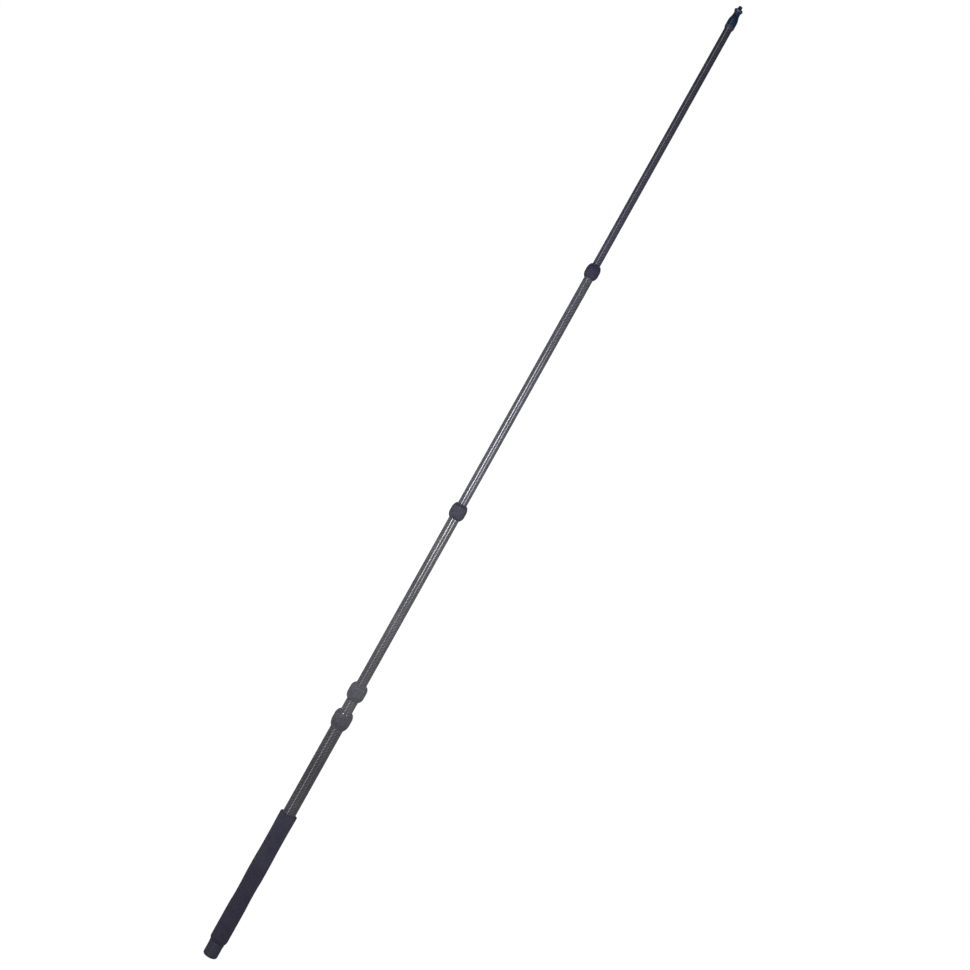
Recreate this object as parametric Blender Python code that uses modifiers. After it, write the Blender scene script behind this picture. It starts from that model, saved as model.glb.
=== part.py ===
"""A five-section telescopic boom pole, as it comes apart on a bench.

Carbon tubes slide in one another. Each outer tube ends in a twist lock: a nut on a threaded ferrule
squeezes a slotted collet onto the next tube. The hand end has a foam grip and a screwed cap, and the far
end a turned adaptor with a 3/8"-16 stud. Sizes are in millimetres, and MM changes them to metres. The pole
lies along world +X with the centre of its end cap at the origin.
"""

import math
from dataclasses import dataclass

import bmesh
import bpy

MM = 0.001
FULL_TURN = math.tau
FINE_SEGMENTS = 32  # facets round a tube or a bush, which run close to each other
SEGMENTS = 24  # facets round everything else
SHARP_EDGE = math.radians(30)

# Tubes
TUBE_RADII = [15.0, 13.5, 12.0, 10.5, 9.0]
TUBE_WALL = 1.0
BONDED_GAP = 0.15  # a glue line
PRESSED_GAP = 0.2  # rubber on metal
RUNNING_GAP = 0.35  # between pieces that turn or slide on each other

# Feet of the inner tubes
BUSH_LENGTH = 70.0
BUSH_GAP = 0.12  # the bush takes up nearly all of the room between two tubes
BUSH_LIFT = 1.0  # the bush starts this far up its tube
FOOT_LEVEL = 18.0  # where the foot of section 2 stands with the pole collapsed
FOOT_STEP = 2.0  # each further foot stands this much higher

# Hand end
CAP_LENGTH = 36.2
CAP_RADIUS = 16.9
CAP_RIM_RADIUS = 17.4
CAP_RIM_LENGTH = 9.0
CAP_FLOOR = 3.5
CAP_EDGE = 5.0  # rounding of the cap's outer edge
STEM_RADIUS = 10.7
STEM_TOP = 14.0
TUBE_1_FOOT = 5.5
INSERT_LENGTH = 11.5
SEAL_RADIUS = 14.3
SEAL_THICKNESS = 1.3
GRIP_START = 36.5
GRIP_END = 357.4
GRIP_RADIUS = 20.2
GRIP_LOWER_EDGE = 4.6
GRIP_UPPER_EDGE = 1.5

# Twist locks
FIRST_LOCK = 574.2  # where the first lock starts, from the hand end
TUBE_SHARE = 0.5  # the outer tube ends this share of the way into its lock
FERRULE_SHARE = 0.14
NUT_SHARE = 0.2
COLLET_SHARE = 0.26
REAR_FULLNESS = 1.6  # 1 is a straight cone, 2 a quarter of an ellipse
FRONT_FULLNESS = 1.75
ROUNDING_STEPS = 4
LIP = 0.9  # how far the rear lip of the rubber stands over the tube
FERRULE_DEPTH = 0.24  # shares of the room between the outer tube and the widest point
NUT_DEPTH = 0.46
FERRULE_MOUTH = 3.5  # the ferrule reaches past the end of its tube, round the foot of the collet
COLLET_LIFT = 1.0
COLLET_FOOT = 2.2
COLLET_BORE_GAP = 0.25
COLLET_SHOULDER = 1.4
SLOT_WIDTH = 1.2
SLOT_COUNT = 3  # cuts right across, so each makes two slots
WIPER_BACK = 0.6
WIPER_LENGTH = 1.8
WIPER_DEPTH = 2.0
WIPER_GAP = 0.25
NOSE_BORE_GAP = 0.5
NOSE_TIP = 1.1
NUT_TRAVEL = 1.0  # a lock comes this far forward when it is opened half a turn
LOCK_SPACING = 1.5  # room left between two locks with the pole collapsed

# Tip
TIP_SOCKET = 8.7  # how far tube 5 reaches into the tip ring
TIP_RING_RADIUS = 11.2
TIP_RING_BAND = 3.0  # the widest stretch, at its front
TIP_RING_SWELL = 2.0  # the rear of the ring rises quickly over this length
TIP_RING_SHOULDER = 1.3  # and stands this far over the tube at its end
TIP_RING_LIP = 0.6
PLUG_LENGTH = 20.0
PLUG_BORE = 5.05
SPIGOT_RADIUS = 4.7
SPIGOT_LENGTH = 13.0
ADAPTOR_START = 9.5
ADAPTOR_RADIUS = 11.0
ADAPTOR_STRAIGHT = 9.4
ADAPTOR_SWEEP = 18.4
NECK_RADIUS = 7.6
NECK_TOP = 32.9
FLANGE_RADIUS = 9.5
FLANGE_BACK = 35.4
FLANGE_FACE = 39.0
FLANGE_EDGE = 0.5
STUD_BORE = 5.0
STUD_BORE_FLOOR = 27.0
STUD_FOOT = 27.3
STUD_TOP = 47.7
STUD_RADIUS = 4.7625  # 3/8 inch across
STUD_PITCH = 1.5875  # 16 threads to the inch
THREAD_DEPTH = 0.8
THREAD_START = 37.5
THREAD_ROOT = 0.42  # half-widths of the thread's ridge, as shares of the pitch
THREAD_CREST = 0.06
STUD_CHAMFER = 0.8
RIDGE_BURIAL = 0.2  # the ridge starts inside the core, so that the two join
TRIM_MARGIN = 0.1  # the blank that trims the thread stands clear of its crests

# Colour, roughness, metallic
MATERIALS = {
    "carbon": ((0.055, 0.055, 0.062), 0.28, 0.0),
    "foam": ((0.036, 0.035, 0.047), 0.95, 0.0),
    "cap_rubber": ((0.038, 0.038, 0.05), 0.7, 0.0),
    "ribbed_rubber": ((0.06, 0.06, 0.075), 0.65, 0.0),
    "nose_plastic": ((0.08, 0.08, 0.09), 0.4, 0.0),
    "bush_plastic": ((0.5, 0.5, 0.48), 0.5, 0.0),
    "seal_rubber": ((0.02, 0.02, 0.02), 0.8, 0.0),
    "aluminium": ((0.6, 0.61, 0.63), 0.35, 1.0),
    "black_anodised": ((0.02, 0.03, 0.05), 0.3, 1.0),
    "black_steel": ((0.03, 0.03, 0.033), 0.35, 1.0),
}


@dataclass
class Lock:
    """One twist lock. rear and front are the lengths over which the ends of its barrel are rounded."""

    length: float
    radius: float
    nose: float
    rear: float
    front: float


LOCKS = [
    Lock(length=42.1, radius=21.3, nose=5.8, rear=16.0, front=13.6),
    Lock(length=39.0, radius=20.0, nose=4.5, rear=12.0, front=12.4),
    Lock(length=36.3, radius=18.2, nose=5.9, rear=12.0, front=15.0),
    Lock(length=33.6, radius=16.15, nose=5.2, rear=11.0, front=14.0),
]
SHOWN = [28.5, 417.4, 569.3, 594.6]  # how much of tubes 2 to 5 stands out of the lock below it


# Shapes


def sleeve(outer, inner, bottom, top):
    """The outline of a plain tube: down its outer side and up its inner one."""
    return [(outer, top), (outer, bottom), (inner, bottom), (inner, top)]


def arc(radius, height, size, start, end, steps):
    """Points on a piece of a circle centred at (radius, height), from one angle to another."""
    angles = [math.radians(start + (end - start) * step / steps) for step in range(steps + 1)]
    return [(radius + size * math.cos(angle), height + size * math.sin(angle)) for angle in angles]


def screw(owner, segments, turns=1, pitch=0.0):
    """Turns the owner's outline about its Z axis, and lifts it by pitch at each turn."""
    modifier = owner.modifiers.new("Screw", "SCREW")
    modifier.axis = "Z"
    modifier.angle = FULL_TURN
    modifier.steps = segments
    modifier.render_steps = segments
    modifier.iterations = turns
    modifier.screw_offset = pitch * MM
    modifier.use_merge_vertices = pitch == 0
    modifier.merge_threshold = 0.00001


def combine(owner, tool, operation):
    """Cuts, joins or crosses the owner with the tool."""
    modifier = owner.modifiers.new(operation.title(), "BOOLEAN")
    modifier.operation = operation
    modifier.object = tool


def settle(owner, *tools):
    """Makes the owner's modifiers its own mesh, shades it smooth between edges, and removes the tools."""
    bpy.context.view_layer.update()
    shape = bpy.data.meshes.new_from_object(owner.evaluated_get(bpy.context.evaluated_depsgraph_get()))
    owner.modifiers.clear()
    owner.data = shape
    shape.name = owner.name
    shape.shade_smooth()
    shape.set_sharp_from_angle(angle=SHARP_EDGE)
    for tool in tools:
        bpy.data.objects.remove(tool)


def outline_object(name, outline):
    """A mesh of edges only, in the XZ plane. It is a closed loop unless it ends on the axis."""
    shape = bpy.data.meshes.new(name)
    build = bmesh.new()
    points = [build.verts.new((radius * MM, 0.0, height * MM)) for radius, height in outline]
    for first, second in zip(points, points[1:]):
        build.edges.new((first, second))
    if outline[0][0] > 0:
        build.edges.new((points[-1], points[0]))
    build.to_mesh(shape)
    build.free()
    owner = bpy.data.objects.new(name, shape)
    bpy.context.scene.collection.objects.link(owner)
    return owner


def turned(name, outline, material, carrier, along, segments=SEGMENTS):
    """A piece turned about the pole's axis, with its own origin at `along` on that axis."""
    piece = outline_object(name, outline)
    screw(piece, segments)
    settle(piece)
    return fit(piece, material, carrier, along)


def fit(piece, material, carrier, along):
    """Puts a finished piece in the pole's collection, on the body that carries it."""
    bpy.context.scene.collection.objects.unlink(piece)
    pole.objects.link(piece)
    piece.parent = carrier
    piece.location.z = (along - carrier["along"]) * MM
    piece.data.materials.clear()
    piece.data.materials.append(materials[material])
    return piece


def body(name, along, parent=None):
    """An empty on the pole's axis that carries the pieces of one moving body. Its Z runs along the pole."""
    carrier = bpy.data.objects.new(name, None)
    carrier["along"] = along
    carrier.empty_display_size = 20 * MM
    pole.objects.link(carrier)
    if parent is None:
        carrier.rotation_euler.y = math.radians(90)
    else:
        carrier.parent = parent
        carrier.location.z = (along - parent["along"]) * MM
    return carrier


def make_material(name, colour, roughness, metallic):
    material = bpy.data.materials.new(name)
    material.use_nodes = True
    shader = material.node_tree.nodes["Principled BSDF"]
    shader.inputs["Base Color"].default_value = (*colour, 1.0)
    shader.inputs["Roughness"].default_value = roughness
    shader.inputs["Metallic"].default_value = metallic
    return material


# Hand end


def make_end_cap(carrier):
    """A cup over the end of tube 1, with a threaded stem in the middle. Its outer face is flat."""
    skirt_bore = TUBE_RADII[0] + RUNNING_GAP
    rim = [(CAP_RIM_RADIUS, CAP_LENGTH), (CAP_RIM_RADIUS, CAP_LENGTH - CAP_RIM_LENGTH / 2),
           (CAP_RADIUS, CAP_LENGTH - CAP_RIM_LENGTH)]
    edge = arc(CAP_RADIUS - CAP_EDGE, CAP_EDGE, CAP_EDGE, 0, -90, 3)
    outline = [(0, STEM_TOP), (STEM_RADIUS, STEM_TOP), (STEM_RADIUS, CAP_FLOOR), (skirt_bore, CAP_FLOOR),
               (skirt_bore, CAP_LENGTH), *rim, *edge, (0, 0)]
    turned("end_cap", outline, "cap_rubber", carrier, 0)


def make_cap_seal(carrier):
    """An O-ring between the floor of the cap and the end of tube 1."""
    size = SEAL_THICKNESS / 2
    middle = (CAP_FLOOR + TUBE_1_FOOT) / 2
    turned("cap_seal", arc(SEAL_RADIUS, 0, size, 60, -240, 5), "seal_rubber", carrier, middle)


def make_end_insert(carrier):
    outer = TUBE_RADII[0] - TUBE_WALL - BONDED_GAP
    outline = sleeve(outer, STEM_RADIUS + RUNNING_GAP, 0, INSERT_LENGTH)
    turned("end_insert", outline, "aluminium", carrier, TUBE_1_FOOT)


def make_foam_grip(carrier):
    """A thick foam sleeve, well rounded below and barely rounded above."""
    length = GRIP_END - GRIP_START
    bore = TUBE_RADII[0] + PRESSED_GAP
    upper = arc(GRIP_RADIUS - GRIP_UPPER_EDGE, length - GRIP_UPPER_EDGE, GRIP_UPPER_EDGE, 90, 0, 1)
    lower = arc(GRIP_RADIUS - GRIP_LOWER_EDGE, GRIP_LOWER_EDGE, GRIP_LOWER_EDGE, 0, -90, 3)
    turned("foam_grip", [*upper, *lower, (bore, 0), (bore, length)], "foam", carrier, GRIP_START)


# Twist locks


def rounding(share, fullness):
    """How much of its full radius a rounded end has reached, a share of the way in from the end."""
    share = min(1.0, max(0.0, share))
    return (1 - (1 - share) ** fullness) ** (1 / fullness)


def barrel_radius(number, along):
    """The outside of a lock at a distance along it: a rounded rear, a straight crest and a rounded nose."""
    lock = LOCKS[number - 1]
    tube = TUBE_RADII[number - 1]
    mouth = TUBE_RADII[number] + NOSE_TIP
    rear = (lock.radius - tube) * rounding(along / lock.rear, REAR_FULLNESS)
    front = (lock.radius - mouth) * rounding((lock.length - along) / lock.front, FRONT_FULLNESS)
    return min(tube + max(rear, LIP), mouth + front)


def barrel(number, end, crest):
    """Points on the outside of a lock from a crest or a joint to an end, closer together near the end."""
    angles = [math.pi / 2 * step / ROUNDING_STEPS for step in range(ROUNDING_STEPS, -1, -1)]
    places = [end + (crest - end) * (1 - math.cos(angle)) for angle in angles]
    return [(barrel_radius(number, along), along) for along in places]


def make_ferrule(number, lock, carrier, start):
    """The threaded ring bonded on the end of the outer tube. Its mouth holds the foot of the collet."""
    tube = TUBE_RADII[number - 1]
    outer = tube + FERRULE_DEPTH * (lock.radius - tube)
    outline = sleeve(outer, tube + BONDED_GAP, FERRULE_SHARE * lock.length,
                     TUBE_SHARE * lock.length + FERRULE_MOUTH)
    turned(f"ferrule_{number}", outline, "aluminium", carrier, start)


def make_collet(number, lock, carrier, start):
    """A ring with a narrow foot, a shoulder and a tapered head, slotted nearly through so it can close."""
    tube = TUBE_RADII[number - 1]
    bore = TUBE_RADII[number] + COLLET_BORE_GAP
    length = COLLET_SHARE * lock.length
    shoulder = FERRULE_MOUTH - COLLET_LIFT + RUNNING_GAP
    outline = [(tube - RUNNING_GAP / 2, length), (tube + COLLET_SHOULDER, length / 2),
               (tube + COLLET_SHOULDER, shoulder), (tube - PRESSED_GAP, shoulder),
               (tube - PRESSED_GAP, 0), (bore, 0), (bore, length)]
    collet = outline_object(f"collet_{number}", outline)
    screw(collet, SEGMENTS)
    saws = []
    for index in range(SLOT_COUNT):
        bpy.ops.mesh.primitive_cube_add(size=1, rotation=(0, 0, math.pi * (index + 0.5) / SLOT_COUNT))
        saw = bpy.context.active_object
        saw.dimensions = (4 * tube * MM, SLOT_WIDTH * MM, length * MM)
        saw.location.z = (COLLET_FOOT + length / 2) * MM
        combine(collet, saw, "DIFFERENCE")
        saws.append(saw)
    settle(collet, *saws)
    fit(collet, "nose_plastic", carrier, start + TUBE_SHARE * lock.length + COLLET_LIFT)


def make_lock_nut(number, lock, carrier, start):
    """The rigid core of the lock. It runs on the ferrule, and its front narrows to squeeze the collet."""
    tube = TUBE_RADII[number - 1]
    room = lock.radius - tube
    bore = tube + FERRULE_DEPTH * room + RUNNING_GAP
    outer = tube + NUT_DEPTH * room
    bottom = NUT_SHARE * lock.length
    top = lock.length - lock.nose - PRESSED_GAP
    seat = TUBE_SHARE * lock.length + COLLET_LIFT + COLLET_SHARE * lock.length / 2
    outline = [(outer, top), (outer, bottom), (bore, bottom), (bore, seat), (tube + RUNNING_GAP, top)]
    turned(f"lock_nut_{number}", outline, "aluminium", carrier, start)


def make_rubber_sleeve(number, lock, carrier, start):
    """The rubber over the nut, which reaches back past it to a lip on the tube."""
    tube = TUBE_RADII[number - 1]
    room = lock.radius - tube
    top = lock.length - lock.nose - PRESSED_GAP
    lip_depth = FERRULE_SHARE * lock.length - NUT_TRAVEL
    nut_foot = NUT_SHARE * lock.length - PRESSED_GAP
    inner_steps = [
        (tube + RUNNING_GAP, 0),
        (tube + RUNNING_GAP, lip_depth),
        (tube + FERRULE_DEPTH * room + RUNNING_GAP, lip_depth),
        (tube + FERRULE_DEPTH * room + RUNNING_GAP, nut_foot),
        (tube + NUT_DEPTH * room + PRESSED_GAP, nut_foot),
        (tube + NUT_DEPTH * room + PRESSED_GAP, top),
    ]
    crest_end = lock.length - lock.front
    shoulder = [(barrel_radius(number, along), along) for along in (top, (top + crest_end) / 2, crest_end)]
    rear = barrel(number, 0.0, lock.rear)
    turned(f"rubber_sleeve_{number}", [*shoulder, *rear, *inner_steps], "ribbed_rubber", carrier, start)


def make_nose_ring(number, lock, carrier, start):
    """The smooth front ring of the lock, with a pocket at its back for the wiper."""
    inner_tube = TUBE_RADII[number]
    back = lock.length - lock.nose
    pocket = inner_tube + WIPER_DEPTH + PRESSED_GAP
    pocket_floor = back + WIPER_BACK + WIPER_LENGTH + PRESSED_GAP
    bore = inner_tube + NOSE_BORE_GAP
    outside = reversed(barrel(number, lock.length, back))
    outline = [(pocket, back), (pocket, pocket_floor), (bore, pocket_floor), (bore, lock.length), *outside]
    turned(f"nose_ring_{number}", outline, "nose_plastic", carrier, start)


def make_wiper(number, lock, carrier, start):
    inner_tube = TUBE_RADII[number]
    outline = sleeve(inner_tube + WIPER_DEPTH, inner_tube + WIPER_GAP, 0, WIPER_LENGTH)
    turned(f"wiper_{number}", outline, "seal_rubber", carrier, start + lock.length - lock.nose + WIPER_BACK)


# Tubes and feet


def make_tube(number, carrier, start, end):
    radius = TUBE_RADII[number - 1]
    outline = sleeve(radius, radius - TUBE_WALL, 0, end - start)
    turned(f"tube_{number}", outline, "carbon", carrier, start, FINE_SEGMENTS)


def make_foot_bush(number, carrier, start):
    """The glide bush round the foot of an inner tube. Its top meets the collet when drawn right out."""
    inner = TUBE_RADII[number - 1] + BUSH_GAP
    outer = TUBE_RADII[number - 2] - TUBE_WALL - BUSH_GAP
    outline = sleeve(outer, inner, 0, BUSH_LENGTH)
    turned(f"foot_bush_{number}", outline, "bush_plastic", carrier, start + BUSH_LIFT, FINE_SEGMENTS)


# Tip


def make_tip_ring(carrier, start):
    tube = TUBE_RADII[-1]
    bore = tube + PRESSED_GAP
    outside = [(TIP_RING_RADIUS, TIP_SOCKET), (TIP_RING_RADIUS, TIP_SOCKET - TIP_RING_BAND),
               (tube + TIP_RING_SHOULDER, TIP_RING_SWELL), (tube + TIP_RING_LIP, 0)]
    turned("tip_ring", [*outside, (bore, 0), (bore, TIP_SOCKET)], "ribbed_rubber", carrier, start)


def make_tip_plug(carrier, start):
    outer = TUBE_RADII[-1] - TUBE_WALL - BONDED_GAP
    outline = sleeve(outer, PLUG_BORE, 0, PLUG_LENGTH)
    turned("tip_plug", outline, "aluminium", carrier, start + TIP_SOCKET - PLUG_LENGTH)


def make_tip_adaptor(carrier, start):
    """A spigot in the plug, a body that sweeps in to a neck, and a flange with the bore for the stud."""
    bore = [(0, STUD_BORE_FLOOR), (STUD_BORE, STUD_BORE_FLOOR), (STUD_BORE, FLANGE_FACE)]
    flange = [(FLANGE_RADIUS - FLANGE_EDGE, FLANGE_FACE), (FLANGE_RADIUS, FLANGE_FACE - FLANGE_EDGE),
              (FLANGE_RADIUS, FLANGE_BACK), (NECK_RADIUS, NECK_TOP)]
    sweep = []
    steps = 5
    for step in range(steps + 1):
        narrowing = (1 + math.cos(math.pi * step / steps)) / 2
        sweep.append((ADAPTOR_RADIUS + (NECK_RADIUS - ADAPTOR_RADIUS) * narrowing,
                      ADAPTOR_STRAIGHT + ADAPTOR_SWEEP * (1 - step / steps)))
    spigot = [(ADAPTOR_RADIUS, 0), (SPIGOT_RADIUS, 0), (SPIGOT_RADIUS, -SPIGOT_LENGTH), (0, -SPIGOT_LENGTH)]
    outline = [*bore, *flange, *sweep, *spigot]
    turned("tip_adaptor", outline, "black_anodised", carrier, start + ADAPTOR_START)


def make_tip_stud(carrier, start):
    """A helical ridge joined to a core, then trimmed to the stud's chamfered length."""
    core_radius = STUD_RADIUS - THREAD_DEPTH
    core = outline_object("tip_stud", [(0, STUD_TOP), (core_radius, STUD_TOP), (core_radius, STUD_FOOT),
                                       (0, STUD_FOOT)])
    screw(core, SEGMENTS)
    root = core_radius - RIDGE_BURIAL
    foot = STUD_PITCH * THREAD_ROOT
    crest = STUD_PITCH * THREAD_CREST
    ridge = outline_object("ridge", [(root, foot), (STUD_RADIUS, crest), (STUD_RADIUS, -crest),
                                     (root, -foot)])
    turns = math.ceil((STUD_TOP - THREAD_START) / STUD_PITCH) + 1
    screw(ridge, SEGMENTS, turns, STUD_PITCH)
    settle(ridge)
    close_ends(ridge.data)
    ridge.location.z = THREAD_START * MM
    side = STUD_RADIUS + TRIM_MARGIN
    blank = outline_object("blank", [(0, STUD_TOP), (STUD_RADIUS - STUD_CHAMFER, STUD_TOP),
                                     (side, STUD_TOP - STUD_CHAMFER), (side, STUD_FOOT), (0, STUD_FOOT)])
    screw(blank, SEGMENTS)
    combine(core, ridge, "UNION")
    combine(core, blank, "INTERSECT")
    settle(core, ridge, blank)
    fit(core, "black_steel", carrier, start + ADAPTOR_START)


def close_ends(shape):
    """Fills the two open ends of a swept ridge."""
    build = bmesh.new()
    build.from_mesh(shape)
    bmesh.ops.holes_fill(build, edges=build.edges)
    bmesh.ops.recalc_face_normals(build, faces=build.faces)
    build.to_mesh(shape)
    build.free()


# The pole


def lay_out():
    """Where the locks start, where the tip starts, and where each tube starts and ends, along the pole."""
    lock_starts = [FIRST_LOCK]
    for lock, shown in zip(LOCKS, SHOWN):
        lock_starts.append(lock_starts[-1] + lock.length + shown)
    tip_start = lock_starts.pop()
    tube_ends = [start + TUBE_SHARE * lock.length for start, lock in zip(lock_starts, LOCKS)]
    tube_ends.append(tip_start + TIP_SOCKET)
    tube_starts = [TUBE_1_FOOT]
    drawn_out = 0.0
    for index, shown in enumerate(SHOWN):
        drawn_out += shown - LOCK_SPACING
        tube_starts.append(FOOT_LEVEL + index * FOOT_STEP + drawn_out)
    return lock_starts, tip_start, tube_starts, tube_ends


def make_hand_end(section):
    seal_body = body("cap_seal_body", CAP_FLOOR, section)
    cap_body = body("end_cap_body", 0, seal_body)
    make_cap_seal(seal_body)
    make_end_cap(cap_body)
    make_end_insert(section)
    make_foam_grip(section)


def make_lock(number, section, start):
    """The ferrule belongs to the outer tube. The nut turns on the collet, which only slides."""
    lock = LOCKS[number - 1]
    collet_body = body(f"collet_{number}_body", start, section)
    lock_body = body(f"lock_{number}_body", start, collet_body)
    make_ferrule(number, lock, section, start)
    make_collet(number, lock, collet_body, start)
    for make_piece in (make_lock_nut, make_rubber_sleeve, make_nose_ring, make_wiper):
        make_piece(number, lock, lock_body, start)


def make_tip(section, start):
    make_tip_ring(section, start)
    make_tip_plug(section, start)
    make_tip_adaptor(section, start)
    make_tip_stud(section, start)


def make_pole():
    lock_starts, tip_start, tube_starts, tube_ends = lay_out()
    section = body("section_1_body", 0)
    make_tube(1, section, tube_starts[0], tube_ends[0])
    make_hand_end(section)
    for number in range(2, len(TUBE_RADII) + 1):
        make_lock(number - 1, section, lock_starts[number - 2])
        start = tube_starts[number - 1]
        bush_body = body(f"bush_{number}_body", start, section)
        section = body(f"section_{number}_body", start, bush_body)
        make_foot_bush(number, bush_body, start)
        make_tube(number, section, start, tube_ends[number - 1])
    make_tip(section, tip_start)


for leftover in list(bpy.data.objects):
    bpy.data.objects.remove(leftover)
pole = bpy.data.collections.new("boom_pole")
bpy.context.scene.collection.children.link(pole)
materials = {name: make_material(name, *look) for name, look in MATERIALS.items()}
make_pole()
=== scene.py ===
"""Looks of the telescopic boom pole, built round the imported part.

The pole lies along +X with its hand end at the origin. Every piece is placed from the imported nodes' boxes.
Visible pieces are turned again with fine outlines, real ribs and a real thread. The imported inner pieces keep
their shapes and get materials. Lengths are in metres.
"""

import math

import bmesh
import bpy
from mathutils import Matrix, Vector, noise


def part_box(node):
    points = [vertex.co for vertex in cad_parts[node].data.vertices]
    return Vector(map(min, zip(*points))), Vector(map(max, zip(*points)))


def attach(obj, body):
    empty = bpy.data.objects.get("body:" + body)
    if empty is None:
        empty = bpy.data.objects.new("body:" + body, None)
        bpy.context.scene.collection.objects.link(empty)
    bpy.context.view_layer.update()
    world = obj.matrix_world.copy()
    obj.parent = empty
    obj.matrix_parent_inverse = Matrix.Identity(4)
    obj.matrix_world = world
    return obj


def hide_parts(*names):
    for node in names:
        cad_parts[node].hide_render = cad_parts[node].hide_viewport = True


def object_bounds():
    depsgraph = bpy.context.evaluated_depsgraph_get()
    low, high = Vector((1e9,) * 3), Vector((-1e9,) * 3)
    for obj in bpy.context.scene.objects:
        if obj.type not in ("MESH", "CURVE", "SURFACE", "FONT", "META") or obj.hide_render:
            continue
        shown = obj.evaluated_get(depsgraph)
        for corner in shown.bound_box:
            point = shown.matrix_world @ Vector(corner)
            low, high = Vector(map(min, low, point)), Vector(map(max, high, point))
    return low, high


MM = 0.001
FULL_TURN = math.tau
TUBES = range(1, 6)
LOCKS = range(1, 5)

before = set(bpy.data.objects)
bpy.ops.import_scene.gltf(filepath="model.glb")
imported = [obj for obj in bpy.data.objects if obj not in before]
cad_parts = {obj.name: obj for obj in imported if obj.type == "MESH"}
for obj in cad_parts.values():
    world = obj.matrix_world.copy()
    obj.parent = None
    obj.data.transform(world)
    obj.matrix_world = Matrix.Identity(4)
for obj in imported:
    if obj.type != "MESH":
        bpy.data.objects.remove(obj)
cad_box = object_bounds()


class Span:
    """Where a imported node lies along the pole, and how far it reaches from the axis."""

    def __init__(self, node):
        low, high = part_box(node)
        self.start = low.x
        self.end = high.x
        self.length = high.x - low.x
        self.radius = high.z


# ---------------------------------------------------------------- shapes

ON_AXIS = 1e-7  # a radius smaller than this is a point on the axis


def fillet(before, corner, after, size, steps=5):
    """A round of the given size at a corner, as points on a smooth curve between its two sides."""
    here = Vector(corner)
    back = Vector(before) - here
    on = Vector(after) - here
    reach = min(size, back.length * 0.49, on.length * 0.49)
    start = here + back.normalized() * reach
    end = here + on.normalized() * reach
    points = []
    for step in range(steps + 1):
        t = step / steps
        points.append(start * (1 - t) ** 2 + here * 2 * t * (1 - t) + end * t**2)
    return [tuple(point) for point in points]


def rounded(corners):
    """A closed outline of (x, radius, round) corners, with each corner's round put in."""
    outline = []
    for index, (x, radius, size) in enumerate(corners):
        before = corners[index - 1][:2]
        after = corners[(index + 1) % len(corners)][:2]
        if size > 0:
            outline += fillet(before, (x, radius), after, size)
        else:
            outline.append((x, radius))
    return outline


def lathe(name, outline, around, relief=None):
    """Turns an outline of (x, radius) points about the pole's axis.

    The outline is a closed loop, or starts and ends on the axis. relief(x, angle, radius) moves each point
    outwards.
    """
    build = bmesh.new()
    rings = []
    for x, radius in outline:
        if radius < ON_AXIS:
            rings.append([build.verts.new((x, 0, 0))])
            continue
        ring = []
        for index in range(around):
            angle = FULL_TURN * index / around
            reach = radius + (relief(x, angle, radius) if relief else 0.0)
            ring.append(build.verts.new((x, reach * math.sin(angle), reach * math.cos(angle))))
        rings.append(ring)
    pairs = list(zip(rings, rings[1:]))
    if len(rings[0]) > 1:
        pairs.append((rings[-1], rings[0]))
    for first, second in pairs:
        for index in range(around):
            other = (index + 1) % around
            if len(first) == 1:
                build.faces.new((first[0], second[index], second[other]))
            elif len(second) == 1:
                build.faces.new((first[index], second[0], first[other]))
            else:
                build.faces.new((first[index], second[index], second[other], first[other]))
    bmesh.ops.recalc_face_normals(build, faces=build.faces)
    return piece_from(name, build)


def piece_from(name, build, sharp=35):
    """Makes a shown object of a bmesh, smooth between its edges."""
    shape = bpy.data.meshes.new(name)
    build.to_mesh(shape)
    build.free()
    shape.shade_smooth()
    shape.set_sharp_from_angle(angle=math.radians(sharp))
    piece = bpy.data.objects.new(name, shape)
    bpy.context.scene.collection.objects.link(piece)
    return piece


def dress(piece, material, body, slot, *nodes):
    """Gives a piece its material and its body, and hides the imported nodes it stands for."""
    piece.data.materials.clear()
    piece.data.materials.append(material)
    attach(piece, body)
    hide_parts(*nodes)
    return piece


def straight(start, end, steps):
    return [start + (end - start) * step / steps for step in range(steps + 1)]


def eased(start, end, steps):
    """Places from start to end that crowd together towards the end."""
    return [start + (end - start) * math.sin(math.pi / 2 * step / steps) for step in range(steps + 1)]


def held(value):
    """The value, kept between 0 and 1."""
    return min(1.0, max(0.0, value))


def rounding(share, fullness):
    """How much of its full radius a rounded end has reached, a share of the way in from the end.

    A fullness of 1 gives a straight cone, and 2 a quarter of an ellipse.
    """
    return (1 - (1 - held(share)) ** fullness) ** (1 / fullness)


# ---------------------------------------------------------------- materials


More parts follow.
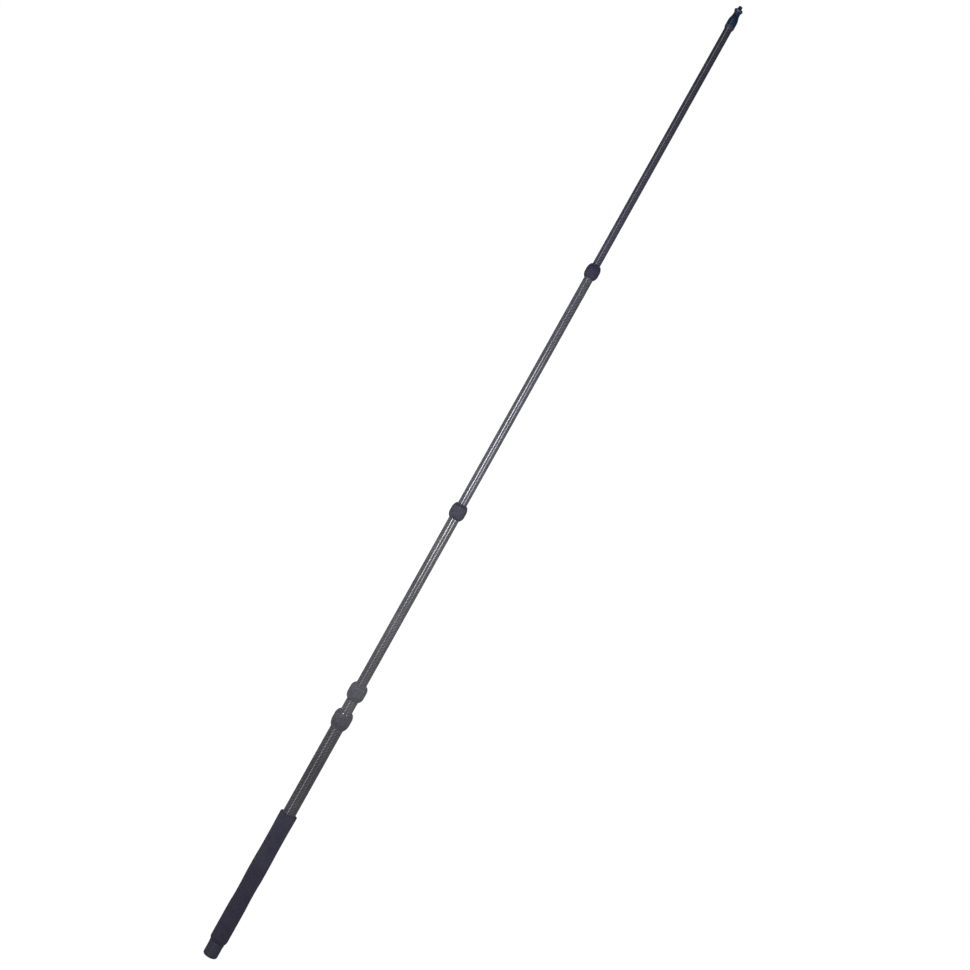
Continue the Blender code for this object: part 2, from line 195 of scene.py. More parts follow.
class Look:
    """A Principled material with short ways to add nodes to it."""

    def __init__(self, name, roughness=0.5, metallic=0.0):
        self.material = bpy.data.materials.new(name)
        self.material.use_nodes = True
        self.tree = self.material.node_tree
        self.shader = self.tree.nodes["Principled BSDF"]
        self.shader.inputs["Roughness"].default_value = roughness
        self.shader.inputs["Metallic"].default_value = metallic

    def plug(self, socket, value):
        """Links a value that is a node's output, or sets one that is a number or a vector."""
        if isinstance(value, bpy.types.NodeSocket):
            self.tree.links.new(value, socket)
        else:
            socket.default_value = value

    def set(self, **values):
        """Sets or links the shader's inputs. An underscore in a name stands for a space."""
        for key, value in values.items():
            self.plug(self.shader.inputs[key.replace("_", " ")], value)

    def math(self, operation, *values):
        node = self.tree.nodes.new("ShaderNodeMath")
        node.operation = operation
        for socket, value in zip(node.inputs, values):
            self.plug(socket, value)
        return node.outputs[0]

    def position(self):
        """The point being shaded, in the row frame at rest, as x, y and z."""
        coordinates = self.tree.nodes.new("ShaderNodeTexCoord")
        parts = self.tree.nodes.new("ShaderNodeSeparateXYZ")
        self.tree.links.new(coordinates.outputs["Object"], parts.inputs[0])
        return coordinates.outputs["Object"], parts.outputs[0], parts.outputs[1], parts.outputs[2]

    def vector(self, x, y, z):
        node = self.tree.nodes.new("ShaderNodeCombineXYZ")
        for socket, value in zip(node.inputs, (x, y, z)):
            self.plug(socket, value)
        return node.outputs[0]

    def noise(self, where, scale, detail=3.0, roughness=0.5):
        node = self.tree.nodes.new("ShaderNodeTexNoise")
        self.plug(node.inputs["Vector"], where)
        node.inputs["Scale"].default_value = scale
        node.inputs["Detail"].default_value = detail
        node.inputs["Roughness"].default_value = roughness
        return node.outputs["Fac"]

    def cells(self, where, scale):
        node = self.tree.nodes.new("ShaderNodeTexVoronoi")
        self.plug(node.inputs["Vector"], where)
        node.inputs["Scale"].default_value = scale
        return node.outputs["Distance"]

    def scaled(self, value, low, high, to_low, to_high):
        """Maps a value from one range to another, and holds it inside."""
        node = self.tree.nodes.new("ShaderNodeMapRange")
        for socket, number in zip(node.inputs, (value, low, high, to_low, to_high)):
            self.plug(socket, number)
        return node.outputs[0]

    def mix(self, share, first, second):
        """Mixes two colours or vectors."""
        node = self.tree.nodes.new("ShaderNodeMix")
        node.data_type = "RGBA"
        self.plug(node.inputs[0], share)
        self.plug(node.inputs[6], (*first, 1.0) if isinstance(first, tuple) else first)
        self.plug(node.inputs[7], (*second, 1.0) if isinstance(second, tuple) else second)
        return node.outputs[2]

    def tint(self, colour, share):
        """Scales a colour by a number."""
        node = self.tree.nodes.new("ShaderNodeVectorMath")
        node.operation = "SCALE"
        self.plug(node.inputs[0], colour)
        self.plug(node.inputs["Scale"], share)
        return node.outputs[0]

    def bump(self, height, distance, strength=1.0):
        node = self.tree.nodes.new("ShaderNodeBump")
        node.inputs["Strength"].default_value = strength
        node.inputs["Distance"].default_value = distance
        self.plug(node.inputs["Height"], height)
        return node.outputs[0]


# painted light: each tube's colour is scaled lighter or darker to follow how the light falls along the pole,
# and tubes 4 and 5 are also tinted bluer
TUBE_PAINTED_LIGHT_AND_TINT = {1: (0.95, 0.95, 0.99), 2: (1.36, 1.36, 1.40), 3: (1.15, 1.15, 1.19), 4: (1.13, 1.13, 1.28),
              5: (0.86, 0.86, 1.12)}
CARBON_LONG_PAINTED_DARK = (0.030, 0.030, 0.033)  # tows that run along the tube, in soft light, painted darker than the round ones as a painted reflection
CARBON_ROUND_PAINTED_SHEEN = (0.076, 0.076, 0.082)  # and round it, painted lighter: the gap between the two tones is a painted reflection of how the tows catch the light
TOW = 2.05 * MM
TOWS_IN_REPEAT = 4


def carbon_twill(number, radius):
    """A 2x2 twill of flat tows under clear lacquer.

    Half of the tows run along the tube and half round it. Each passes over two and under two, one step
    further on from tow to tow, which draws the diagonal. A whole number of repeats goes round each tube.
    """
    look = Look(f"carbon_twill_{number}")
    where, x, y, z = look.position()
    repeats = round(FULL_TURN * radius / (TOW * TOWS_IN_REPEAT))
    angle = look.math("ARCTAN2", y, z)
    across = look.math("MULTIPLY", angle, repeats * TOWS_IN_REPEAT / FULL_TURN)
    along = look.math("DIVIDE", x, TOW)
    across_share = look.math("FRACT", across)
    along_share = look.math("FRACT", along)
    cell = look.math("ADD", look.math("FLOOR", across), look.math("FLOOR", along))
    phase = look.math("FLOORED_MODULO", cell, TOWS_IN_REPEAT)
    lengthwise = look.math("LESS_THAN", phase, 1.5)
    # how far along its visible stretch of two cells a tow is, and how far across its width
    travel_long = look.math("DIVIDE", look.math("ADD", phase, along_share), 2)
    travel_round = look.math("DIVIDE", look.math("ADD", look.math("SUBTRACT", phase, 2), across_share), 2)
    travel = choose(look, lengthwise, travel_long, travel_round)
    width = choose(look, lengthwise, across_share, along_share)
    height = look.math("MULTIPLY", crown(look, width, 0.9), crown(look, travel, 0.75))
    # filaments: streaks much longer than they are wide
    streak_long = stretched_noise(look, x, 150, angle, 160, 0)
    streak_round = stretched_noise(look, x, 9000, angle, 3, 5)
    streak = choose(look, lengthwise, streak_long, streak_round)
    patchy = look.noise(where, 22, 2)
    # painted light: this tube's own factor makes it lighter or darker along the pole
    tube_painted_light_and_tint = TUBE_PAINTED_LIGHT_AND_TINT[number]
    # painted reflection: round tows lighter and lengthwise tows darker, standing in for how each reflects the
    # light
    tone = look.mix(lengthwise, tinted(CARBON_ROUND_PAINTED_SHEEN, tube_painted_light_and_tint), tinted(CARBON_LONG_PAINTED_DARK, tube_painted_light_and_tint))
    # painted shade: each tow is darker towards its edges, where it dips under its neighbours
    valley_painted_shade = look.scaled(height, 0, 1, 0.45, 1.1)
    streak_shade = look.scaled(streak, 0.3, 0.7, 0.75, 1.25)
    patch_shade = look.scaled(patchy, 0.3, 0.7, 0.88, 1.12)
    shade = look.math("MULTIPLY", look.math("MULTIPLY", valley_painted_shade, streak_shade), patch_shade)
    look.set(
        Base_Color=look.tint(tone, shade),
        Metallic=choose(look, lengthwise, 0.05, 0.45),
        Specular_IOR_Level=0.1,
        Roughness=look.scaled(streak, 0.3, 0.7, 0.21, 0.30),
        Anisotropic=0.75,
        Tangent=fibre_cross_direction(look, lengthwise, y, z),
        Normal=look.bump(look.math("ADD", height, look.math("MULTIPLY", streak, 0.15)), 0.10 * MM),
        Coat_Weight=1.0,
        Coat_IOR=1.5,
        Coat_Roughness=look.scaled(look.noise(where, 60, 4), 0.35, 0.7, 0.05, 0.12),
        Coat_Normal=look.bump(height, 0.02 * MM),
    )
    return look.material


def stretched_noise(look, x, along_scale, angle, round_scale, layer):
    """Noise with its own scale along the tube and round it. Each layer is a different pattern."""
    along = look.math("MULTIPLY", x, along_scale)
    around = look.math("MULTIPLY", angle, round_scale)
    return look.noise(look.vector(along, around, layer), 1)


def tinted(colour, tint):
    return tuple(value * share for value, share in zip(colour, tint))


def choose(look, switch, first, second):
    """first where switch is 1, and second where it is 0."""
    difference = look.math("SUBTRACT", first, second)
    return look.math("ADD", second, look.math("MULTIPLY", switch, difference))


def crown(look, share, depth):
    """1 in the middle of a unit width, falling to 1 - depth at its edges."""
    offset = look.math("SUBTRACT", look.math("MULTIPLY", share, 2), 1)
    fall = look.math("POWER", look.math("ABSOLUTE", offset), 2.6)
    return look.math("SUBTRACT", 1, look.math("MULTIPLY", fall, depth))


def fibre_cross_direction(look, lengthwise, y, z):
    """The direction across the fibres, along which their highlight spreads."""
    round_tube = look.vector(0, z, look.math("MULTIPLY", y, -1))
    direction = look.mix(lengthwise, (1.0, 0.0, 0.0), round_tube)
    turn = look.tree.nodes.new("ShaderNodeVectorTransform")
    turn.vector_type = "VECTOR"
    turn.convert_from = "OBJECT"
    turn.convert_to = "WORLD"
    look.plug(turn.inputs[0], direction)
    level = look.tree.nodes.new("ShaderNodeVectorMath")
    level.operation = "NORMALIZE"
    look.plug(level.inputs[0], turn.outputs[0])
    return level.outputs[0]


def foam(start, cut_end):
    """Closed-cell foam: small open pores, a soft mottle and hardly any shine.

    Its rounded start gets painted light that makes it a little paler, and its cut end gets painted shade that
    makes it darker than the skin.
    """
    look = Look("closed_cell_foam", roughness=0.93)
    where, x, _, _ = look.position()
    pores = look.cells(where, 900)
    grain = look.noise(where, 420, 4, 0.7)
    mottle = look.noise(where, 35, 3)
    tone = look.math("ADD", look.math("MULTIPLY", mottle, 0.5), look.math("MULTIPLY", grain, 0.5))
    relief = look.math("ADD", look.math("MULTIPLY", pores, 0.6), look.math("MULTIPLY", grain, 0.7))
    skin = look.mix(look.scaled(tone, 0.35, 0.65, 0, 1), (0.0165, 0.0160, 0.0250), (0.0240, 0.0234, 0.0355))
    # painted light: the rounded start, which faces away from the light, is made paler
    painted_light_at_start = look.scaled(x, start, start + 7 * MM, 1.7, 1)
    # painted shade: the cut end face is made darker
    painted_shade_at_end = look.scaled(x, cut_end - 1.0 * MM, cut_end - 0.2 * MM, 1, 0.6)
    look.set(
        Base_Color=look.tint(skin, look.math("MULTIPLY", painted_light_at_start, painted_shade_at_end)),
        Roughness=look.scaled(grain, 0.3, 0.7, 0.86, 0.97),
        Specular_IOR_Level=0.1,
        Normal=look.bump(relief, 0.35 * MM, 0.8),
    )
    return look.material


def moulded(name, dark, light, roughness, grain_depth=0.03 * MM, specular=0.4,
            ribs=0, smooth_end=0.0, painted_rear_shade=0.0):
    """Moulded rubber or plastic with a fine spark-eroded grain and a little handling wear.

    With ribs, the grooves between them get painted shade. The smooth end that they start from gets a painted
    shade of its own.
    """
    look = Look(name, roughness=roughness)
    where, x, y, z = look.position()
    grain = look.noise(where, 2600, 2, 0.6)
    smudge = look.noise(where, 45, 4, 0.6)
    tone = look.mix(look.scaled(smudge, 0.35, 0.65, 0, 1), dark, light)
    if ribs:
        angle = look.math("ARCTAN2", y, z)
        # painted shade: darker in the grooves between the ribs
        groove_painted_shade = look.math("ABSOLUTE", look.math("SINE", look.math("MULTIPLY", angle, ribs / 2)))
        ribbed = look.scaled(x, smooth_end + 3 * MM, smooth_end + 7 * MM, 0, 1)
        # painted shade: the ribbed part gets its groove shade, and the smooth rear its own painted darkening
        shade = choose(look, ribbed, look.scaled(groove_painted_shade, 0.5, 1, 0, 0.5), painted_rear_shade)
        tone = look.tint(tone, look.math("SUBTRACT", 1, shade))
    look.set(
        Base_Color=tone,
        Roughness=look.scaled(smudge, 0.35, 0.65, roughness * 0.9, roughness * 1.1),
        Specular_IOR_Level=specular,
        Normal=look.bump(grain, grain_depth, 0.6),
    )
    return look.material


def toned(colour, spread=0.05):
    """A darker and a lighter shade of a colour."""
    return tuple(value * (1 - spread) for value in colour), tuple(value * (1 + spread) for value in colour)


TURNING_SCALE = 5000  # of the noise that draws the turning marks, to the metre


def turned_metal(name, colour, roughness, metallic=1.0, groove_depth=0.006 * MM,
                 worn=None, worn_from=0.0):
    """Metal off the lathe: fine rings round the axis, and a faint stain.

    It may be worn paler from a place on.
    """
    look = Look(name, roughness=roughness, metallic=metallic)
    where, x, y, z = look.position()
    radius = look.math("SQRT", look.math("ADD", look.math("MULTIPLY", y, y), look.math("MULTIPLY", z, z)))
    along = look.math("MULTIPLY", x, TURNING_SCALE)
    outwards = look.math("MULTIPLY", radius, TURNING_SCALE)
    rings = look.noise(look.vector(along, outwards, 0), 1, 2)
    stain = look.noise(where, 120, 3)
    darker = tuple(0.75 * value for value in colour)
    tone = look.mix(look.scaled(stain, 0.35, 0.65, 0, 1), darker, colour)
    if worn:
        tone = look.mix(look.scaled(x, worn_from - 0.8 * MM, worn_from + 0.8 * MM, 0, 1), tone, worn)
    look.set(
        Base_Color=tone,
        Roughness=look.scaled(rings, 0.3, 0.7, roughness - 0.05, roughness + 0.08),
        Normal=look.bump(rings, groove_depth),
    )
    return look.material


# ---------------------------------------------------------------- tubes

TUBE_WALL = 1.0 * MM


def make_tube(number):
    """A carbon tube with its bore, both ends slightly rounded."""
    span = Span(f"tube_{number}")
    bore = span.radius - TUBE_WALL
    outline = rounded([
        (span.start, span.radius, 0.3 * MM),
        (span.start, bore, 0.2 * MM),
        (span.end, bore, 0.2 * MM),
        (span.end, span.radius, 0.3 * MM),
    ])
    tube = lathe(f"carbon_tube_{number}", outline, 128)
    dress(tube, carbon_twill(number, span.radius), f"section_{number}", "carbon", f"tube_{number}")


# ---------------------------------------------------------------- hand end


def make_end_cap():
    """The rubber cap: a rounded end with a shallow moulded ring, a plain skirt and a slightly flared rim."""
    span = Span("end_cap")
    skirt = span.radius - 0.5 * MM
    bore = Span("tube_1").radius + 0.3 * MM
    floor = span.start + 3.5 * MM
    stem = 10.7 * MM
    stem_top = span.start + 14.0 * MM
    rim = 9.0 * MM
    outline = [(stem_top, 0.0)]
    outline += rounded([
        (stem_top, stem, 0.5 * MM),
        (floor, stem, 0.4 * MM),
        (floor, bore, 0.4 * MM),
        (span.end, bore, 0.3 * MM),
        (span.end, span.radius, 0.7 * MM),
        (span.end - rim * 0.45, span.radius, 2.0 * MM),
        (span.end - rim, skirt, 2.5 * MM),
        (span.start, skirt, 5.2 * MM),
        (span.start, 6.2 * MM, 0.3 * MM),
        (span.start + 0.5 * MM, 5.8 * MM, 0.3 * MM),
        (span.start + 0.5 * MM, 4.6 * MM, 0.3 * MM),
        (span.start, 4.2 * MM, 0.3 * MM),
        (span.start, 0.5 * MM, 0.0),
    ])
    outline.append((span.start, 0.0))
    cap = lathe("end_cap_rubber", outline, 128)
    rubber = moulded("cap_rubber", *toned((0.0222, 0.0226, 0.0370), 0.05), 0.55, specular=0.5)
    dress(cap, rubber, "end_cap", "cap_rubber", "end_cap")


# each waist's place and half-length as shares of the grip, and its depth
GRIP_WAISTS = ((0.39, 0.09, 0.85 * MM), (0.80, 0.14, 0.7 * MM))
GRIP_LOWER_ROUND = 8.0 * MM
GRIP_LOWER_DROP = 3.0 * MM
GRIP_UPPER_ROUND = 1.3 * MM


def make_foam_grip():
    """The foam grip with two slight waists, a well rounded lower end and a crisp upper one."""
    span = Span("foam_grip")
    bore = Span("tube_1").radius + 0.15 * MM

    def skin(x):
        share = (x - span.start) / span.length
        waist = sum(depth * math.exp(-((share - place) / half) ** 4) for place, half, depth in GRIP_WAISTS)
        lower = GRIP_LOWER_DROP * (1 - rounding((x - span.start) / GRIP_LOWER_ROUND, 1.5))
        upper = GRIP_UPPER_ROUND * (1 - rounding((span.end - x) / GRIP_UPPER_ROUND, 2))
        return span.radius + 0.1 * MM - waist - lower - upper

    along = eased(span.end - GRIP_UPPER_ROUND, span.end, 6)[:0:-1]
    along += straight(span.end - GRIP_UPPER_ROUND, span.start + GRIP_LOWER_ROUND, 220)
    along += eased(span.start + GRIP_LOWER_ROUND, span.start, 16)[1:]
    outline = [(span.start, bore), (span.end, bore), *((x, skin(x)) for x in along)]

    def unevenness(x, angle, radius):
        if radius < bore + 0.1 * MM:
            return 0.0
        point = Vector((x * 260, 5.2 * math.sin(angle), 5.2 * math.cos(angle)))
        return 0.10 * MM * noise.noise(point)

    grip = lathe("foam_grip_sleeve", outline, 160, unevenness)
    dress(grip, foam(span.start, span.end), "section_1", "foam", "foam_grip")


# ---------------------------------------------------------------- twist locks

# how far the rounded ends of each lock reach in
REAR_ROUNDS = {1: 16.0 * MM, 2: 12.0 * MM, 3: 12.0 * MM, 4: 11.0 * MM}
FRONT_ROUNDS = {1: 13.6 * MM, 2: 12.4 * MM, 3: 15.0 * MM, 4: 14.0 * MM}
REAR_FULLNESS = 1.6
FRONT_FULLNESS = 1.75
REAR_LIP = 0.9 * MM
RIB_PITCH = 2.9 * MM
RIB_DEPTH = 0.5 * MM
GROOVE_DEPTH = 1.0 * MM  # of the dark line between the rubber and the nose ring
RUBBER_TONES = {1: (0.037, 0.036, 0.045), 2: (0.043, 0.043, 0.052), 3: (0.0225, 0.0225, 0.0355),
                4: (0.0150, 0.0155, 0.0330)}
REAR_PAINTED_SHADES = {1: 0.0, 2: 0.0, 3: 0.3, 4: 0.4}  # how much painted shade darkens each rubber's smooth rear
NOSE_TONES = {1: (0.034, 0.033, 0.038), 2: (0.037, 0.037, 0.042), 3: (0.016, 0.016, 0.024),
              4: (0.017, 0.018, 0.033)}
NOSE_ROUGHNESS = {1: 0.12, 2: 0.12, 3: 0.12, 4: 0.25}
NOSE_STEP = 0.15 * MM  # the nose ring is this much smaller than the rubber behind it


class Lock:
    """The outline of one twist lock, from its rubber's rear lip to the front of its nose ring."""

    def __init__(self, number):
        self.number = number
        self.rubber = Span(f"rubber_sleeve_{number}")
        self.nose = Span(f"nose_ring_{number}")
        self.nut = Span(f"lock_nut_{number}")
        self.ferrule = Span(f"ferrule_{number}")
        self.tube = Span(f"tube_{number}").radius
        self.inner_tube = Span(f"tube_{number + 1}").radius
        self.start = self.rubber.start
        self.end = self.nose.end
        self.mouth = self.inner_tube + 1.1 * MM
        self.rear = REAR_ROUNDS[number]
        self.front = FRONT_ROUNDS[number]

    def radius(self, x):
        """The barrel's outside: a rounded rear, a straight crest and a rounded nose."""
        rear = (self.rubber.radius - self.tube) * rounding((x - self.start) / self.rear, REAR_FULLNESS)
        front = (self.rubber.radius - self.mouth) * rounding((self.end - x) / self.front, FRONT_FULLNESS)
        return min(self.tube + max(rear, REAR_LIP), self.mouth + front)


def make_rubber_sleeve(lock):
    """The ribbed rubber. Ribs run lengthwise, and fade out towards the smooth lip and the front edge."""
    ribs = 4 * round(FULL_TURN * lock.rubber.radius / RIB_PITCH / 4)
    over_nut = lock.nut.radius + 0.2 * MM
    over_ferrule = lock.ferrule.radius + 0.35 * MM
    over_tube = lock.tube + 0.3 * MM
    lip_end = lock.ferrule.start - 1.2 * MM
    nut_foot = lock.nut.start - 0.3 * MM
    front = lock.rubber.end
    outline = [(x, lock.radius(x)) for x in straight(front - 0.5 * MM, lock.start + lock.rear, 20)]
    outline += [(x, lock.radius(x)) for x in eased(lock.start + lock.rear, lock.start, 24)[1:]]
    outline += [(lock.start, over_tube), (lip_end, over_tube), (lip_end, over_ferrule)]
    outline += [(nut_foot, over_ferrule), (nut_foot, over_nut), (front, over_nut)]
    outline.append((front, lock.radius(front) - GROOVE_DEPTH))

    def relief(x, angle, radius):
        if radius < lock.radius(x) - 0.2 * MM:
            return 0.0
        from_rear = held((x - lock.start - 3 * MM) / (4 * MM))
        from_front = held((front - 0.8 * MM - x) / (1.2 * MM))
        wave = abs(math.sin(angle * ribs / 2)) ** 2.2
        return -RIB_DEPTH * wave * from_rear * from_front

    sleeve = lathe(f"ribbed_rubber_{lock.number}", outline, ribs * 8, relief)
    shades = toned(RUBBER_TONES[lock.number])
    rubber = moulded(f"ribbed_rubber_{lock.number}", *shades, 0.65, specular=0.25, ribs=ribs,
                     smooth_end=lock.start, painted_rear_shade=REAR_PAINTED_SHADES[lock.number])
    dress(sleeve, rubber, f"lock_{lock.number}", "ribbed_rubber", f"rubber_sleeve_{lock.number}")


def make_nose_ring(lock):
    """The smooth ring at the front, a hair smaller than the rubber where they meet."""
    back = lock.nose.start
    front = lock.nose.end
    bore = lock.inner_tube + 0.45 * MM
    pocket = lock.inner_tube + 2.2 * MM
    pocket_floor = back + 2.6 * MM
    outside = [(x, lock.radius(x) - NOSE_STEP) for x in eased(back + 0.3 * MM, front, 16)]
    outline = [*outside, (front, bore), (pocket_floor, bore), (pocket_floor, pocket), (back, pocket),
               (back, lock.radius(back) - GROOVE_DEPTH)]
    ring = lathe(f"nose_ring_front_{lock.number}", outline, 128)
    shades = toned(NOSE_TONES[lock.number])
    plastic = moulded(f"nose_plastic_{lock.number}", *shades, NOSE_ROUGHNESS[lock.number],
                      grain_depth=0.005 * MM, specular=0.9)
    dress(ring, plastic, f"lock_{lock.number}", "nose_plastic", f"nose_ring_{lock.number}")


# ---------------------------------------------------------------- tip


def make_tip_ring():
    """The ribbed ring on the end of the last tube, cut by lengthwise slots."""
    span = Span("tip_ring")
    tube = Span("tube_5").radius
    bore = tube + 0.15 * MM
    slots = 16

    def outside(x):
        share = (x - span.start) / span.length
        rise = math.sin(math.pi / 2 * held(share / 0.8)) ** 0.9
        return tube + 0.5 * MM + (span.radius - tube - 0.5 * MM) * rise

    outline = [(x, outside(x)) for x in straight(span.end - 0.4 * MM, span.start + 0.3 * MM, 32)]
    outline += [(span.start, tube + 0.35 * MM), (span.start, bore)]
    outline += [(span.end, bore), (span.end, span.radius - 0.5 * MM)]

    def relief(x, angle, radius):
        if radius < outside(x) - 0.1 * MM:
            return 0.0
        from_rear = held((x - span.start - 1.5 * MM) / (2.5 * MM))
        from_front = held((span.end - 0.8 * MM - x) / (0.8 * MM))
        return -0.8 * MM * abs(math.cos(angle * slots / 2)) ** 5 * from_rear * from_front

    ring = lathe("tip_ring_ribbed", outline, slots * 10, relief)
    rubber = moulded("tip_rubber", *toned((0.023, 0.026, 0.042)), 0.2, grain_depth=0.01 * MM, specular=0.6)
    dress(ring, rubber, "section_5", "ribbed_rubber", "tip_ring")


def make_tip_adaptor():
    """The turned adaptor: a body that sweeps in to a neck, and a flange with a chamfered bore."""
    span = Span("tip_adaptor")
    back = Span("tip_ring").end + 0.8 * MM
    face = span.end
    bore = 5.0 * MM
    bore_floor = face - 12.0 * MM
    flange = 9.5 * MM
    neck = 7.6 * MM
    sweep_start = back + 9.4 * MM
    sweep = 18.4 * MM
    steps = 24
    side = []
    for step in range(steps + 1):
        narrowing = (1 - math.cos(math.pi * step / steps)) / 2
        side.append((sweep_start + sweep * step / steps, span.radius + (neck - span.radius) * narrowing, 0.0))
    spigot = 4.7 * MM
    corners = [
        (span.start, 0.3 * MM, 0.0),
        (span.start, spigot, 0.4 * MM),
        (back, spigot, 0.3 * MM),
        (back, span.radius, 0.6 * MM),
        *side,
        (face - 6.1 * MM, neck, 1.2 * MM),
        (face - 3.6 * MM, flange, 1.0 * MM),
        (face, flange, 0.8 * MM),
        (face, bore + 0.5 * MM, 0.2 * MM),
        (face - 0.5 * MM, bore, 0.2 * MM),
        (bore_floor, bore, 0.3 * MM),
    ]
    outline = [(span.start, 0.0), *rounded(corners), (bore_floor, 0.0)]
    adaptor = lathe("tip_adaptor_turned", outline, 160)
    metal = turned_metal("black_anodised", (0.0110, 0.0260, 0.0570), 0.34, metallic=0.2,
                         worn=(0.034, 0.031, 0.047), worn_from=face - 5.0 * MM)
    dress(adaptor, metal, "section_5", "black_anodised", "tip_adaptor")


def thread_height(x, angle, pitch, depth):
    """How far a 60 degree thread stands back from its crest, at a point along and round it."""
    turn = (x / pitch - angle / FULL_TURN) % 1.0
    ramp = abs(turn - 0.5) * 2
    return -depth * held((ramp - 0.125) / 0.75)


def make_tip_stud():
    """The 3/8"-16 stud, with a true helix over its whole length and a chamfered end."""
    span = Span("tip_stud")
    pitch = 1.5875 * MM
    depth = 0.86 * MM
    radius = span.radius
    chamfer = 0.9 * MM
    rows = round(span.length / pitch * 16)
    outline = [(span.start, 0.0)]
    for x in straight(span.start, span.end, rows):
        end_share = held((span.end - x) / chamfer)
        outline.append((x, radius - chamfer * (1 - end_share)))
    outline.append((span.end, 0.0))

    def relief(x, angle, reach):
        thread = thread_height(x, angle, pitch, depth)
        return min(0.0, max(thread, radius - depth - reach))

    stud = lathe("tip_stud_threaded", outline, 96, relief)
    steel = turned_metal("black_steel", (0.062, 0.063, 0.084), 0.38, metallic=0.5)
    dress(stud, steel, "section_5", "black_steel", "tip_stud")


# ---------------------------------------------------------------- inner pieces


def paint_inner_pieces():
    """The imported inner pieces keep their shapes."""
    aluminium = turned_metal("machined_aluminium", (0.62, 0.63, 0.65), 0.33, groove_depth=0.01 * MM)
    collet = moulded("collet_plastic", (0.07, 0.07, 0.075), (0.09, 0.09, 0.10), 0.45)
    bush = moulded("bush_acetal", (0.46, 0.46, 0.44), (0.54, 0.54, 0.52), 0.42)
    seal = moulded("seal_rubber", (0.016, 0.016, 0.017), (0.024, 0.024, 0.026), 0.7)
    looks = {"ferrule": aluminium, "lock_nut": aluminium, "end_insert": aluminium, "tip_plug": aluminium,
             "collet": collet, "foot_bush": bush, "wiper": seal, "cap_seal": seal}
    for name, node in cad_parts.items():
        for start, material in looks.items():
            if name.startswith(start):
                node.data.materials.clear()
                node.data.materials.append(material)


# ---------------------------------------------------------------- stage

LENS = 55.0
SENSOR = 36.0
IMAGE_SIDE = 970
SCALE = 2.2 * MM  # metres on the pole for each step of the image grid
TILT = 60.75  # the pole's direction in the image, in degrees above the horizontal
AIM_ALONG = 1.1994
AIM_ASIDE = -0.0228
LIT_MIDDLE = 1.00  # the soft light is strongest here along the pole
GLINT_MIDDLE = 1.27  # and the strips hang over here
LIGHT_DISTANCE = 1.15
STRIP_WIDTH = 0.17


def make_camera():
    """Looks straight down on the pole, turned so that the pole runs from lower left to upper right."""
    camera = bpy.data.cameras.new("camera")
    camera.lens = LENS
    camera.sensor_width = SENSOR
    eye = bpy.data.objects.new("camera", camera)
    height = LENS / SENSOR * IMAGE_SIDE * SCALE
    eye.location = (AIM_ALONG, AIM_ASIDE, height)
    eye.rotation_euler = (0, 0, -math.radians(TILT))
    bpy.context.scene.collection.objects.link(eye)
    bpy.context.scene.camera = eye


def ray_share(tree, rays, value, otherwise):
    """value for one kind of ray, and otherwise for the rest."""
    path = tree.nodes.new("ShaderNodeLightPath")
    pick = tree.nodes.new("ShaderNodeMix")
    tree.links.new(path.outputs[rays], pick.inputs[0])
    for socket, number in ((pick.inputs[2], otherwise), (pick.inputs[3], value)):
        if isinstance(number, bpy.types.NodeSocket):
            tree.links.new(number, socket)
        else:
            socket.default_value = number
    return pick.outputs[0]


def make_floor():
    """A floor that the camera sees white, and that the pole's reflections see dim."""
    build = bmesh.new()
    bmesh.ops.create_grid(build, x_segments=4, y_segments=4, size=9.0)
    floor = piece_from("floor", build)
    floor.location = (AIM_ALONG, 0, cad_box[0].z - 0.5 * MM)
    look = Look("light_table", roughness=0.9)
    glow = ray_share(look.tree, "Is Camera Ray", 0.97, 0.0)
    tone = ray_share(look.tree, "Is Camera Ray", 0.05, ray_share(look.tree, "Is Glossy Ray", 0.05, 0.85))
    look.set(
        Base_Color=look.vector(tone, tone, tone),
        Specular_IOR_Level=0.0,
        Emission_Color=(1, 1, 1, 1),
        Emission_Strength=glow,
    )
    floor.data.materials.append(look.material)


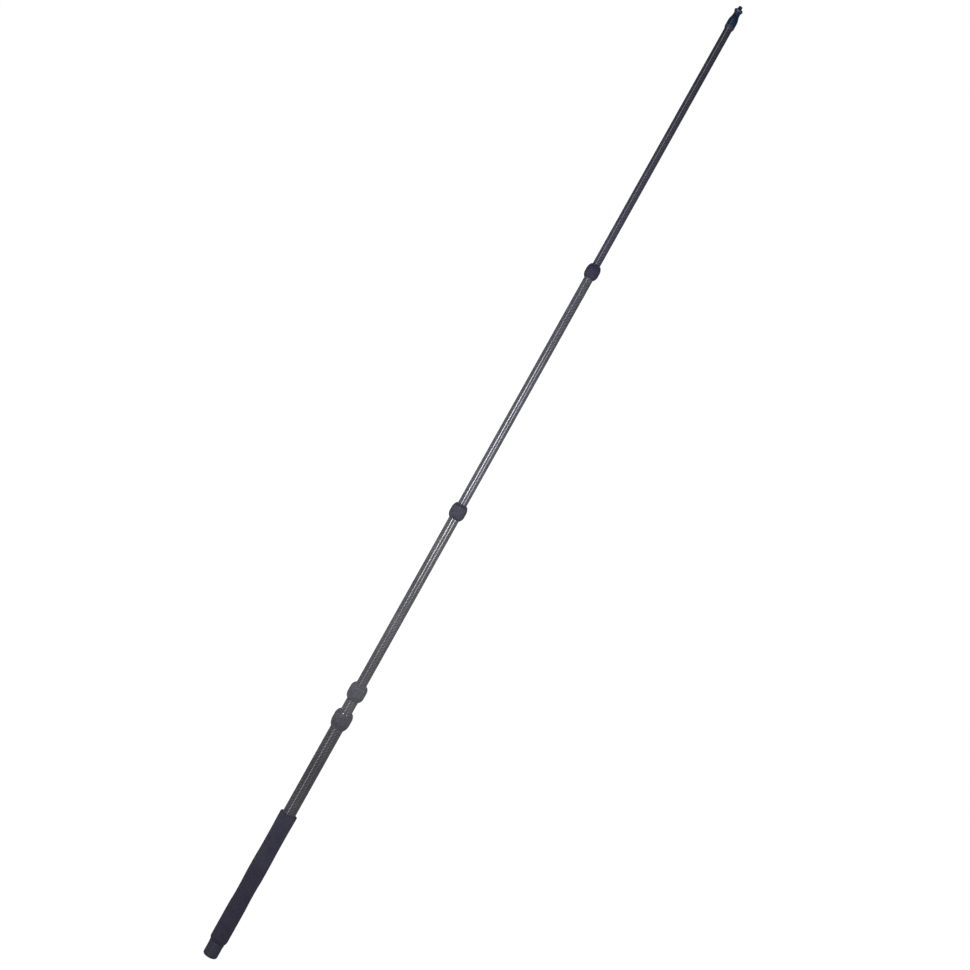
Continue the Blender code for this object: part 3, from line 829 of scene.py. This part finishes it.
def light_box(name, brightness, length, width, lean, middle, glints=True):
    """A box of light over the pole and along it, leaning from straight above towards +Y by an angle.

    Its brightness is the radiance of its face, so that boxes of any size compare. A box without glints only
    lights the pieces softly, and isn't mirrored in them.
    """
    lamp = bpy.data.lights.new(name, "AREA")
    lamp.shape = "RECTANGLE"
    lamp.size = length
    lamp.size_y = width
    lamp.energy = brightness * math.pi * length * width
    light = bpy.data.objects.new(name, lamp)
    angle = math.radians(lean)
    light.location = (middle, LIGHT_DISTANCE * math.sin(angle), LIGHT_DISTANCE * math.cos(angle))
    light.rotation_euler = (-angle, 0, 0)
    light.visible_camera = False
    light.visible_glossy = glints
    bpy.context.scene.collection.objects.link(light)


def make_lights():
    """A white room that reflects dimly, strips that draw two lines on the tubes, and soft boxes all round."""
    world = bpy.data.worlds.new("white_room")
    world.use_nodes = True
    back = world.node_tree.nodes["Background"]
    back.inputs["Color"].default_value = (1, 1, 1, 1)
    dim = ray_share(world.node_tree, "Is Glossy Ray", 0.04, 0.09)
    world.node_tree.links.new(ray_share(world.node_tree, "Is Camera Ray", 1.0, dim), back.inputs["Strength"])
    bpy.context.scene.world = world
    for side, lean, share, far_share in (("left", 26, 1.0, 1.0), ("right", -36, 0.6, 0.2)):
        light_box(f"core_strip_{side}", 30 * share, 0.40, STRIP_WIDTH, lean, GLINT_MIDDLE)
        light_box(f"strip_{side}", 19 * share, 0.80, STRIP_WIDTH, lean, GLINT_MIDDLE)
        light_box(f"long_strip_{side}", 4 * far_share, 3.4, STRIP_WIDTH, lean, GLINT_MIDDLE)
    light_box("soft_top", 4.6, 1.15, 0.8, 0, LIT_MIDDLE, glints=False)
    light_box("soft_left", 5.8, 1.15, 0.8, 72, LIT_MIDDLE, glints=False)
    light_box("soft_right", 5.8, 1.15, 0.8, -72, LIT_MIDDLE, glints=False)


def main():
    for number in TUBES:
        make_tube(number)
    make_end_cap()
    make_foam_grip()
    for number in LOCKS:
        lock = Lock(number)
        make_rubber_sleeve(lock)
        make_nose_ring(lock)
    make_tip_ring()
    make_tip_adaptor()
    make_tip_stud()
    paint_inner_pieces()
    make_camera()
    make_floor()
    make_lights()
    bpy.context.scene.view_settings.view_transform = "Standard"


main()
